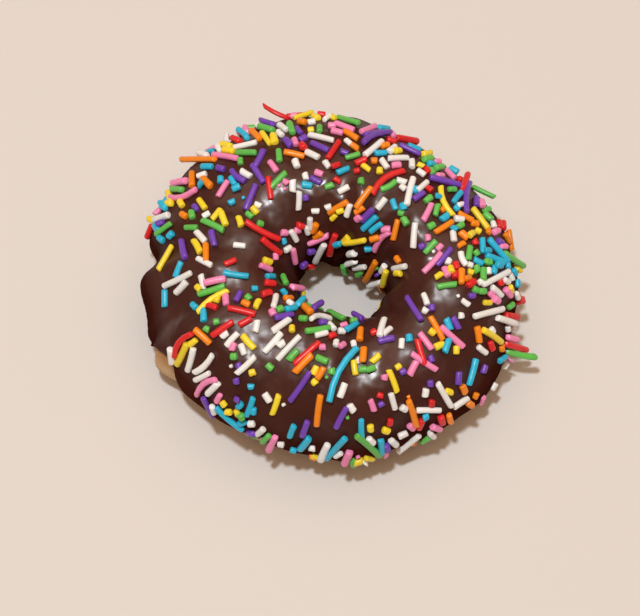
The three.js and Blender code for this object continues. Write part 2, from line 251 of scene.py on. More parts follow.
def dough_place(around, across):
    depth = icing_depth - dough_overlap
    spot = ring_point(around, across, depth)
    spot = ring_point(around, across, depth - crust_relief(spot))
    rounded = (spot.z + math.hypot(spot.z, flat_softness)) / 2
    spot.z = rounded if spot.z > -3 * flat_softness else max(0.0, flat_relief * noise.noise(spot / 4.0))
    return spot


def add_node(tree, kind, inputs):
    node = tree.nodes.new(f"ShaderNode{kind}")
    feed(tree, node, inputs)
    return node


def cloud(tree, place, scale, detail, roughness=0.5):
    """A soft uneven pattern, from 0 to 1."""
    inputs = {"Vector": place, "Scale": scale, "Detail": detail, "Roughness": roughness}
    return add_node(tree, "TexNoise", inputs).outputs["Fac"]


def rescaled(tree, value, low, high, at_low=0.0, at_high=1.0):
    """Goes from at_low to at_high while a value goes from low to high."""
    inputs = {"Value": value, "From Min": low, "From Max": high, "To Min": at_low, "To Max": at_high}
    return add_node(tree, "MapRange", inputs).outputs["Result"]


def combined(tree, operation, *values):
    """The sum, the greatest or the like of values."""
    node = tree.nodes.new("ShaderNodeMath")
    node.operation = operation
    feed(tree, node, dict(enumerate(values)))
    return node.outputs["Value"]


def colours_along(tree, value, *stops):
    """Colours that change with a value. Each stop is the value there, from 0 to 1, and the colour."""
    node = add_node(tree, "ValToRGB", {"Fac": value})
    elements = node.color_ramp.elements
    for element, (at, colour) in zip(elements, (stops[0], stops[-1])):
        element.position, element.color = at, colour
    for at, colour in stops[1:-1]:
        elements.new(at).color = colour
    return node.outputs["Color"]


def fine_relief(tree, height, strength, distance):
    """Relief too fine for the mesh. The distance is in metres."""
    inputs = {"Height": height, "Strength": strength, "Distance": distance}
    return add_node(tree, "Bump", inputs).outputs["Normal"]


def dough_finish():
    finish, tree, shader = new_finish("fried_dough", {"Specular IOR Level": 0.35})
    place = add_node(tree, "TexCoord", {}).outputs["Object"]

    # Colour by height, its border made uneven by a cloud: brown below, pale where it floated, golden above
    height = add_node(tree, "SeparateXYZ", {"Vector": place}).outputs["Z"]
    uneven = combined(tree, "MULTIPLY_ADD", cloud(tree, place, 110, 4), 0.008, height)
    shades = colours_along(
        tree, rescaled(tree, uneven, 0.003, 0.030),
        (0.0, paint(150, 96, 52)), (0.16, paint(181, 124, 74)), (0.36, paint(216, 176, 126)),
        (0.52, paint(226, 192, 146)), (0.72, paint(196, 144, 92)), (1.0, paint(178, 122, 72)))

    # Darker freckles where the fat browned it
    browned = tree.nodes.new("ShaderNodeMix")
    browned.data_type = "RGBA"
    browned.blend_type = "MULTIPLY"
    freckles = rescaled(tree, cloud(tree, place, 520, 5, 0.62), 0.48, 0.74, 0.0, 0.55)
    feed(tree, browned, {"Factor": freckles, "A": shades, "B": (0.66, 0.50, 0.36, 1.0)})

    feed(tree, shader, {
        "Base Color": browned.outputs["Result"],
        "Roughness": rescaled(tree, cloud(tree, place, 300, 3), 0.0, 1.0, 0.48, 0.78),
        "Normal": fine_relief(tree, cloud(tree, place, 1500, 6, 0.65), 0.6, 0.0003),
    })
    return finish


dough = new_piece("dough_ring", spun_ring(dough_steps, dough_place), dough_finish())
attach(dough, "root")
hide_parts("dough")


# ---- The icing ----
# Dark chocolate icing. The top half was dipped in it warm, and it ran a little down the sides and into the
# hole before it set, so it is a skin with thick round edges, and at the left it hangs in a bare lobe.

ear_depth = 1.4           # extra icing on the lobe
rim_lip = -10             # "across" of its lower edge outside, where it is neither high nor low
hole_lip = 206            # and in the hole
lip_roll = 2.6            # degrees across over which its edge rounds off
bead_height = 0.2         # how far it stands out just above its edge
bead_at = 4               # degrees across above its edge
bead_spread = 3
icing_steps = (480, 150)
outside_turn = 240        # the part of the circle that becomes its outside
edge_packing = 0.8        # how much closer its steps are at its edges


@functools.cache
def ear_window(around):
    """The lobe where the icing slid down past the waist."""
    return stretch(around, 176, 194.8, 0.6)


def ear_height(around, across):
    return ear_depth * ear_window(around) * swell(across, -5, 28)


def icing_point(around, across, rise=0.0):
    return ring_point(around, across, -rise - ear_height(around, across))


@functools.cache
def rim_lip_across(around):
    """Down over the lobe, up where the dough shows beside it, and level at the near side."""
    return (rim_lip + 3 * wave(around, 5, 20) + 2 * wave(around, 9, 4)
            + 12 * swell(around, 250, 32) - 20 * ear_window(around)
            + 9 * swell(around, 173.5, 2) + 35 * stretch(around, 198.5, 209.4, 1.3))


@functools.cache
def hole_lip_across(around):
    return hole_lip + 5 * wave(around, 3, 40) + 3 * wave(around, 7, 15)


def icing_relief(spot, around, across):
    """Soft dimples, and on the lobe the fine runs of icing that slid down."""
    dimples = 0.16 * noise.noise(spot / 6.5) + 0.07 * noise.noise(spot / 2.6)
    runs = 0.04 * math.sin(math.radians(around * 150)) + 0.03 * math.sin(math.radians(around * 233))
    return dimples + runs * ear_window(around) * swell(across, -10, 26)


def icing_place(around, angle):
    """One part of the circle becomes the outside of the skin, and the rest of it lies on the dough."""
    outside = angle <= outside_turn
    even = angle / outside_turn if outside else (360 - angle) / (360 - outside_turn)
    share = even - edge_packing * math.sin(math.tau * even) / math.tau
    rim_edge, hole_edge = rim_lip_across(around), hole_lip_across(around)
    across = (rim_lip + share * (hole_lip - rim_lip)
              + (1 - share) ** 2 * (rim_edge - rim_lip) + share ** 2 * (hole_edge - hole_lip))
    edge = max(0.0, min(across - rim_edge, hole_edge - across))
    thickness = math.sqrt(1 - (1 - min(edge / lip_roll, 1.0)) ** 2)
    side = -1 if outside else 1
    depth = icing_depth * (1 + side * thickness) / 2
    lift = (1 - depth / icing_depth) * ear_height(around, across)
    if outside:
        spot = ring_point(around, across)
        bead = bead_height * math.exp(-((edge - bead_at) / bead_spread) ** 2)
        lift += thickness * (bead + icing_relief(spot, around, across))
    return ring_point(around, across, depth - lift)


def icing_finish():
    finish, tree, shader = new_finish("chocolate_icing", {})
    place = add_node(tree, "TexCoord", {}).outputs["Object"]
    tones = cloud(tree, place, 90, 4)
    gloss = rescaled(tree, cloud(tree, place, 160, 5, 0.6), 0.3, 0.7, 0.22, 0.40)

    # What ran down the sides and into the hole set duller than the top
    height = add_node(tree, "SeparateXYZ", {"Vector": place}).outputs["Z"]
    dulled = (0.018, 0.028)      # fully at the first of these heights, and not at all from the second up
    feed(tree, shader, {
        "Base Color": colours_along(tree, tones, (0.3, paint(60, 27, 21)), (0.7, paint(76, 37, 29))),
        "Specular IOR Level": rescaled(tree, height, *dulled, 0.0, 0.5),
        "Roughness": combined(tree, "MAXIMUM", gloss, rescaled(tree, height, *dulled, 0.8, 0.1)),
        "Normal": fine_relief(tree, cloud(tree, place, 240, 1), 1.0, 0.0005),
    })
    return finish


icing = new_piece("icing_skin", spun_ring(icing_steps, icing_place), icing_finish())
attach(icing, "root")
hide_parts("icing")


# ---- The sprinkles ----
# Rods of coloured sugar paste, pressed out as thin strings, dried and broken to length. They were scattered
# on while the icing was wet, so they are sunk in it a little and lie over each other where they fell thickly.

sprinkle_colours = {
    "white": paint(248, 250, 250),
    "red": paint(230, 42, 46),
    "orange": paint(253, 144, 24),
    "yellow": paint(254, 228, 54),
    "green": paint(104, 200, 90),
    "blue": paint(46, 192, 232),
    "purple": paint(120, 72, 190),
    "pink": paint(252, 146, 198),
}
rod_radius = 0.76
rod_sink = 0.5            # of a rod in the solid; a real one is sunk less
rod_spacing = 1.75        # least, between the middle lines of loose ones and others
least_facing = 0.35       # icing that faces the camera less than this is seen too flatly to lay rods by
steepest = 1.2            # how much a rod may run towards the camera for its seen length
hidden_by = 1.2           # how far behind the icing a loose rod's ends are, seen from the camera
peep = 2.0                # how far its ends are from the icing's outline, if it lies on others
sight_reach = 40          # how far up and down a line of sight from the hole's middle the icing is looked for
coarse_step, fine_step = 1.0, 0.1


def outward_at(around, across):
    step = 0.5
    along_ring = icing_point(around + step, across) - icing_point(around - step, across)
    along_section = icing_point(around, across + step) - icing_point(around, across - step)
    return along_ring.cross(along_section).normalized()


def place_under(point):
    """The place on the icing nearest a point, as (around, across), and how far past it the point is."""
    reach = math.hypot(point.x, point.y)
    around = math.degrees(math.atan2(point.y, point.x)) % 360
    crest, _ = section(around, 1)
    _, half_width = section(around, reach - crest)
    outward = (reach - crest) / half_width
    upward = (point.z - waist_height) / (crest_height - waist_height)
    return (around, math.degrees(math.atan2(upward, outward))), math.hypot(outward, upward) - 1


def gap_under(point):
    """How many millimetres a point is off the icing, and which way the icing faces there."""
    place, _ = place_under(point)
    out = outward_at(*place)
    return (point - icing_point(*place)).dot(out), out


def first_icing(target, to_eye, high, low, step):
    """How far up a line of sight the icing is met or nearest, going down in steps, and how far it misses."""
    found, least = high, math.inf
    for count in range(round((high - low) / step) + 1):
        far = high - count * step
        _, miss = place_under(target + to_eye * far)
        if miss < least:
            found, least = far, miss
        if miss <= 0:
            break
    return found, least


waist_middle = Vector((0, 0, waist_height))
eye = waist_middle + view_back * view_distance


def seen_icing(right, up):
    """The icing that the camera sees right of the hole's middle and up from it: where the line of sight meets
    the plane that faces the camera there, its direction, how far up it the icing is, which way the icing
    faces, and how far the line misses it."""
    target = waist_middle + Vector((right, 0, 0)) + view_up * up
    to_eye = (eye - target).normalized()
    rough, _ = first_icing(target, to_eye, sight_reach, -sight_reach, coarse_step)
    far, miss = first_icing(target, to_eye, rough + coarse_step, rough - coarse_step, fine_step)
    gap, out = gap_under(target + to_eye * far)
    if miss <= 0:
        far -= gap / max(out.dot(to_eye), least_facing)
    return target, to_eye, far, out, miss


def is_hidden(point):
    """Whether the icing hides a point from the camera, with some to spare."""
    share = view_distance / (view_distance - (point - waist_middle).dot(view_back))
    target = eye + (point - eye) * share
    _, to_eye, far, _, miss = seen_icing(target.x, (target - waist_middle).dot(view_up))
    return miss <= 0 and (point - target).dot(to_eye) < far - hidden_by


class Rod:
    """A rod with its middle line between two points, over icing that faces out. It bends sideways by bow in
    its middle. An end is lifted in the direction rise, to lie on other rods."""

    def __init__(self, start, end, out, rise, bow=0.0):
        self.start, self.end, self.out, self.rise, self.bow = start, end, out, rise, bow
        self.radius, self.colour = rod_radius, None
        self.lift(0.0, 0.0)

    def lift(self, at_start, at_end):
        start, end = self.start + self.rise * at_start, self.end + self.rise * at_end
        self.centre = (start + end) / 2
        self.length = (end - start).length
        self.along = (end - start).normalized()
        self.side = self.along.cross(self.out).normalized()

    def stations(self, count=5):
        """Points along its middle line, from end to end."""
        shares = [step / (count - 1) - 0.5 for step in range(count)]
        return [self.centre + self.along * (share * self.length) for share in shares]


def laid_rod(start_place, end_place):
    """A rod on the icing between two places, each (around, across). On the round its ends stand off."""
    start, end = icing_point(*start_place), icing_point(*end_place)
    middle = ((start_place[0] + end_place[0]) / 2, (start_place[1] + end_place[1]) / 2)
    out = outward_at(*middle)
    bulge = max(0.0, (icing_point(*middle) - (start + end) / 2).dot(out))
    stand = out * (bulge + rod_radius - rod_sink)
    return Rod(start + stand, end + stand, out, out)


def seen_rod(right, up, end_right, end_up, bow=0.0):
    """A rod that looks to the camera as if it lay between two places on the icing. Where the icing runs away
    steeply it lies on its nearer end, and past the icing's outline it is lowered onto it."""
    target, to_eye, far, _, _ = seen_icing(right, up)
    end_target, end_to_eye, end_far, _, _ = seen_icing(end_right, end_up)
    _, _, middle_far, out, _ = seen_icing((right + end_right) / 2, (up + end_up) / 2)
    least = max(far, end_far) - steepest * math.hypot(end_right - right, end_up - up)
    far, end_far = max(far, least), max(end_far, least)
    bulge = max(0.0, middle_far - (far + end_far) / 2)
    start = target + to_eye * (far + bulge)
    end = end_target + end_to_eye * (end_far + bulge)
    gaps = [gap_under(point) for point in (start, (start + end) / 2, end)]
    gap, lowest_out = min(gaps, key=lambda found: found[0])
    stand = out * (rod_radius - rod_sink) - lowest_out * max(0.0, gap)
    return Rod(start + stand, end + stand, out, view_back, bow)


# Those that the solid has too: right and up of the hole's middle at one end, then at the other, as the camera
# sees them, and the bow of a bent one
main_rods = {
    "white": (
        (-24.8, 33.5, -19.4, 34.7), (-7.3, 36.5, -1.4, 35.1), (-41.2, 1.2, -34.7, 4.4),
        (-3.7, 11.5, -5.9, 7.3), (17.1, 26.5, 15.5, 19.9), (17.6, 16.2, 17.1, 10.1), (33.0, 1.4, 39.3, 4.7),
        (-34.2, -13.1, -35.6, -18.5), (-29.7, -14.8, -34.0, -19.0, -0.5), (-19.9, -15.2, -24.4, -19.4),
        (-13.8, -9.8, -18.0, -14.5), (-9.4, -10.5, -14.8, -16.2), (30.9, -5.9, 37.9, -4.0),
        (22.5, -21.3, 25.8, -26.9), (17.6, -27.6, 23.4, -27.6), (18.3, -33.3, 13.3, -37.2),
        (11.0, 30.9, 15.9, 31.1), (-7.3, -6.7, -2.6, -6.6, -0.8), (-9.6, 23.7, -9.8, 19.2),
        (10.3, -6.6, 9.1, -10.8), (-26.8, -12.9, -23.9, -9.7), (28.0, 9.2, 29.4, 5.9, 0.3),
        (18.0, 23.4, 20.4, 25.5), (-11.9, 14.5, -10.3, 11.9), (-0.5, 23.2, 2.1, 24.6),
        (-25.1, 10.8, -22.2, 10.5), (19.4, -0.7, 20.4, -3.4), (-7.0, 17.6, -7.0, 14.8),
        (-23.4, -12.4, -22.4, -15.0), (31.9, -12.8, 34.0, -14.4), (26.2, 14.1, 26.5, 11.5),
    ),
    "red": (
        (-17.8, 43.3, -11.9, 40.3, 0.6), (-16.9, 26.9, -16.2, 21.5), (-0.2, 35.1, -3.0, 30.9),
        (-22.5, 16.2, -14.3, 11.9, 0.4), (15.0, 28.3, 7.3, 22.7, 1.1), (-26.5, -4.0, -19.9, -5.6),
        (-38.9, -15.2, -34.7, -9.6, -0.9), (-4.9, -11.9, -11.0, -17.3), (38.4, -12.2, 43.3, -13.6),
        (17.8, -11.2, 19.7, -17.3), (-30.2, -10.5, -25.1, -7.0), (-18.7, 12.4, -14.1, 8.9),
        (-45.0, 12.6, -43.8, 15.7), (-26.7, 37.5, -23.7, 38.1), (-27.2, 6.1, -24.4, 7.3),
    ),
    "orange": (
        (-37.0, 30.7, -29.0, 30.7), (-13.3, 32.5, -8.4, 31.4), (7.3, 24.6, 3.5, 19.4),
        (26.2, 16.2, 22.0, 13.6), (1.9, 21.3, -2.8, 18.5), (13.8, 16.9, 12.6, 11.9),
        (-4.7, -24.1, -5.6, -31.4), (20.8, -5.9, 23.9, -11.5), (15.7, -25.3, 17.6, -31.4),
        (39.3, 14.5, 40.0, 9.6), (-31.4, 11.0, -31.4, 6.8), (27.4, 18.3, 30.9, 16.4), (0.9, 37.5, 4.2, 35.4),
        (-5.5, -20.6, -3.8, -17.8),
    ),
    "yellow": (
        (-39.1, 10.5, -42.4, 4.7), (23.2, 24.6, 26.2, 17.6, 0.9), (30.7, 19.4, 34.4, 14.5),
        (-33.5, -5.2, -26.2, 0.0, -0.9), (-14.3, -24.1, -15.9, -28.8), (33.0, -8.9, 37.5, -11.9),
        (11.0, -18.3, 13.1, -23.7), (1.2, 11.5, 6.1, 12.2), (-10.8, 40.3, -6.3, 41.7),
        (7.1, -16.8, 9.2, -14.9), (-33.0, 21.5, -31.4, 19.2),
    ),
    "green": (
        (-32.3, 16.6, -27.2, 14.1), (30.9, 24.8, 36.3, 22.2), (-33.3, -0.9, -26.9, 1.2),
        (38.9, -13.8, 45.4, -15.2, 0.4), (3.5, -33.5, 9.1, -38.2), (-8.4, -9.6, -2.8, -8.7),
        (22.5, 0.9, 27.2, 1.6), (-42.9, 13.3, -39.3, 15.9), (19.7, 8.9, 22.5, 11.9), (1.2, 31.1, 4.7, 32.1),
        (-22.2, 39.6, -19.2, 39.8), (-36.3, 14.8, -33.3, 14.8),
    ),
    "blue": (
        (-27.6, 4.4, -21.5, 3.5), (34.4, 12.2, 39.1, 6.8), (-29.0, -26.9, -22.7, -32.3, 0.5),
        (3.7, -13.1, -3.0, -26.0, 1.2), (31.4, -15.7, 29.7, -22.0), (4.7, -29.7, 4.9, -35.1),
        (1.2, -34.0, -3.3, -38.9), (8.7, 17.8, 5.2, 14.5), (33.8, 8.4, 38.2, 6.5),
        (-20.4, -24.6, -22.0, -29.0), (-0.9, 27.6, 2.1, 28.8), (-10.8, -31.1, -11.9, -33.9),
        (8.0, 32.1, 10.8, 32.3), (12.2, 21.5, 13.1, 19.0), (31.0, 7.5, 33.3, 6.2), (-13.1, -4.4, -10.5, -4.0),
    ),
    "purple": (
        (-20.6, 29.7, -17.8, 25.3), (-19.7, 25.1, -22.2, 19.0), (5.2, 34.7, 11.7, 37.2, -0.8),
        (13.8, 34.2, 18.7, 31.9), (20.8, 26.5, 28.1, 24.6), (30.0, 25.5, 29.3, 18.5, 0.5),
        (-7.0, -18.7, -11.9, -25.8), (15.5, -1.4, 19.0, -7.0), (1.4, -26.9, -1.2, -31.9),
        (-37.0, 11.9, -36.1, 7.5), (-15.6, -6.4, -11.2, -5.5), (-25.5, 28.3, -22.2, 25.5, 0.4),
        (-7.7, -30.1, -9.0, -33.7), (26.0, -6.0, 27.6, -8.9), (27.4, -18.7, 27.2, -21.9),
        (-7.0, 26.7, -4.4, 25.3), (-24.6, -2.6, -23.4, -0.2), (2.9, -5.5, 5.2, -6.8),
    ),
    "pink": (
        (-29.7, 31.9, -23.9, 30.9), (-39.6, 22.0, -33.5, 23.7, 0.8), (11.7, 14.1, 8.2, 9.8, 0.5),
        (23.7, 8.9, 19.4, 4.2), (-29.0, -20.4, -33.5, -24.1, 0.8), (23.2, -8.2, 28.6, -13.1),
        (16.4, -14.5, 22.5, -18.5), (-7.3, 11.5, -2.6, 13.6), (-1.2, 39.3, 3.3, 37.5),
        (21.3, 20.6, 19.2, 16.4), (-26.2, 25.8, -28.6, 22.0), (-11.5, 10.3, -10.8, 6.8),
        (-32.1, 33.0, -29.3, 34.7, 0.4), (-16.6, 30.4, -14.8, 27.9), (-19.2, 6.1, -16.4, 4.9),
        (6.8, -25.2, 7.8, -28.0), (24.6, 28.3, 26.7, 26.2),
    ),
}

rods = []
for colour, rows in main_rods.items():
    for row in rows:
        rod = seen_rod(*row)
        rod.colour = colour
        rods.append(rod)


def draws_from(seed):
    """Evenly spread draws from 0 to 1, the same each time."""
    state = seed
    while True:
        state = state * 16807 % 2147483647
        yield state / 2147483647


# Where few sprinkles stuck: around and its spread, across and its spread, and the share that is missing
bare_patches = (
    (187, 26, -15, 45, 1.0),
    (262, 34, 42, 17, 0.6),
    (95, 34, 152, 22, 0.75),
    (2, 16, 140, 20, 0.7),
    (300, 30, 60, 14, 0.3),
)


def share_that_sticks(around, across):
    share = 1.0
    for at, spread, height, rise, missing in bare_patches:
        share *= 1 - missing * swell(around, at, spread) * swell(across, height, rise)
    return share


scatter_room = 6          # degrees across between the icing's lower edges and the middle of a scattered one


def scattered_rod(draw, shortest, longest):
    """A rod with any heading, at a place drawn by area and by what sticks there, or None. The camera doesn't
    see it."""
    around = 360 * next(draw)
    low = rim_lip_across(around) + scatter_room
    across = low + (hole_lip_across(around) - scatter_room - low) * next(draw)
    length = shortest + (longest - shortest) * next(draw)
    heading = math.tau * next(draw)
    luck = next(draw)
    reach = icing_point(around, across).xy.length
    if luck > share_that_sticks(around, across) * reach / outer_reach:
        return None
    rounding = (icing_point(around, across + 1) - icing_point(around, across - 1)).length / 2
    turn = math.degrees(length / 2 * math.cos(heading) / reach)
    roll = length / 2 * math.sin(heading) / rounding
    rod = laid_rod((around - turn, across - roll), (around + turn, across + roll))
    ends = [rod.centre + rod.along * (side * length / 2) for side in (-1, 1)]
    return rod if all(is_hidden(end) for end in ends) else None


def is_well_hidden(rod):
    """Whether no part of a rod comes out past the icing's outline."""
    return all(is_hidden(point + view_up * rise) for point in (rod.start, rod.end) for rise in (-peep, peep))


def spacing(one, other):
    """The least distance between the middle lines of two rods, by stations along them."""
    if (one.centre - other.centre).length > (one.length + other.length) / 2 + rod_spacing:
        return math.inf
    return min((here - there).length for here in one.stations() for there in other.stations())


loose_rods = 28
loose_length = (3.4, 5.8)
loose_draw = draws_from(7)
wanted = len(rods) + loose_rods
while len(rods) < wanted:
    rod = scattered_rod(loose_draw, *loose_length)
    if rod and all(spacing(rod, other) > rod_spacing for other in rods):
        rods.append(rod)

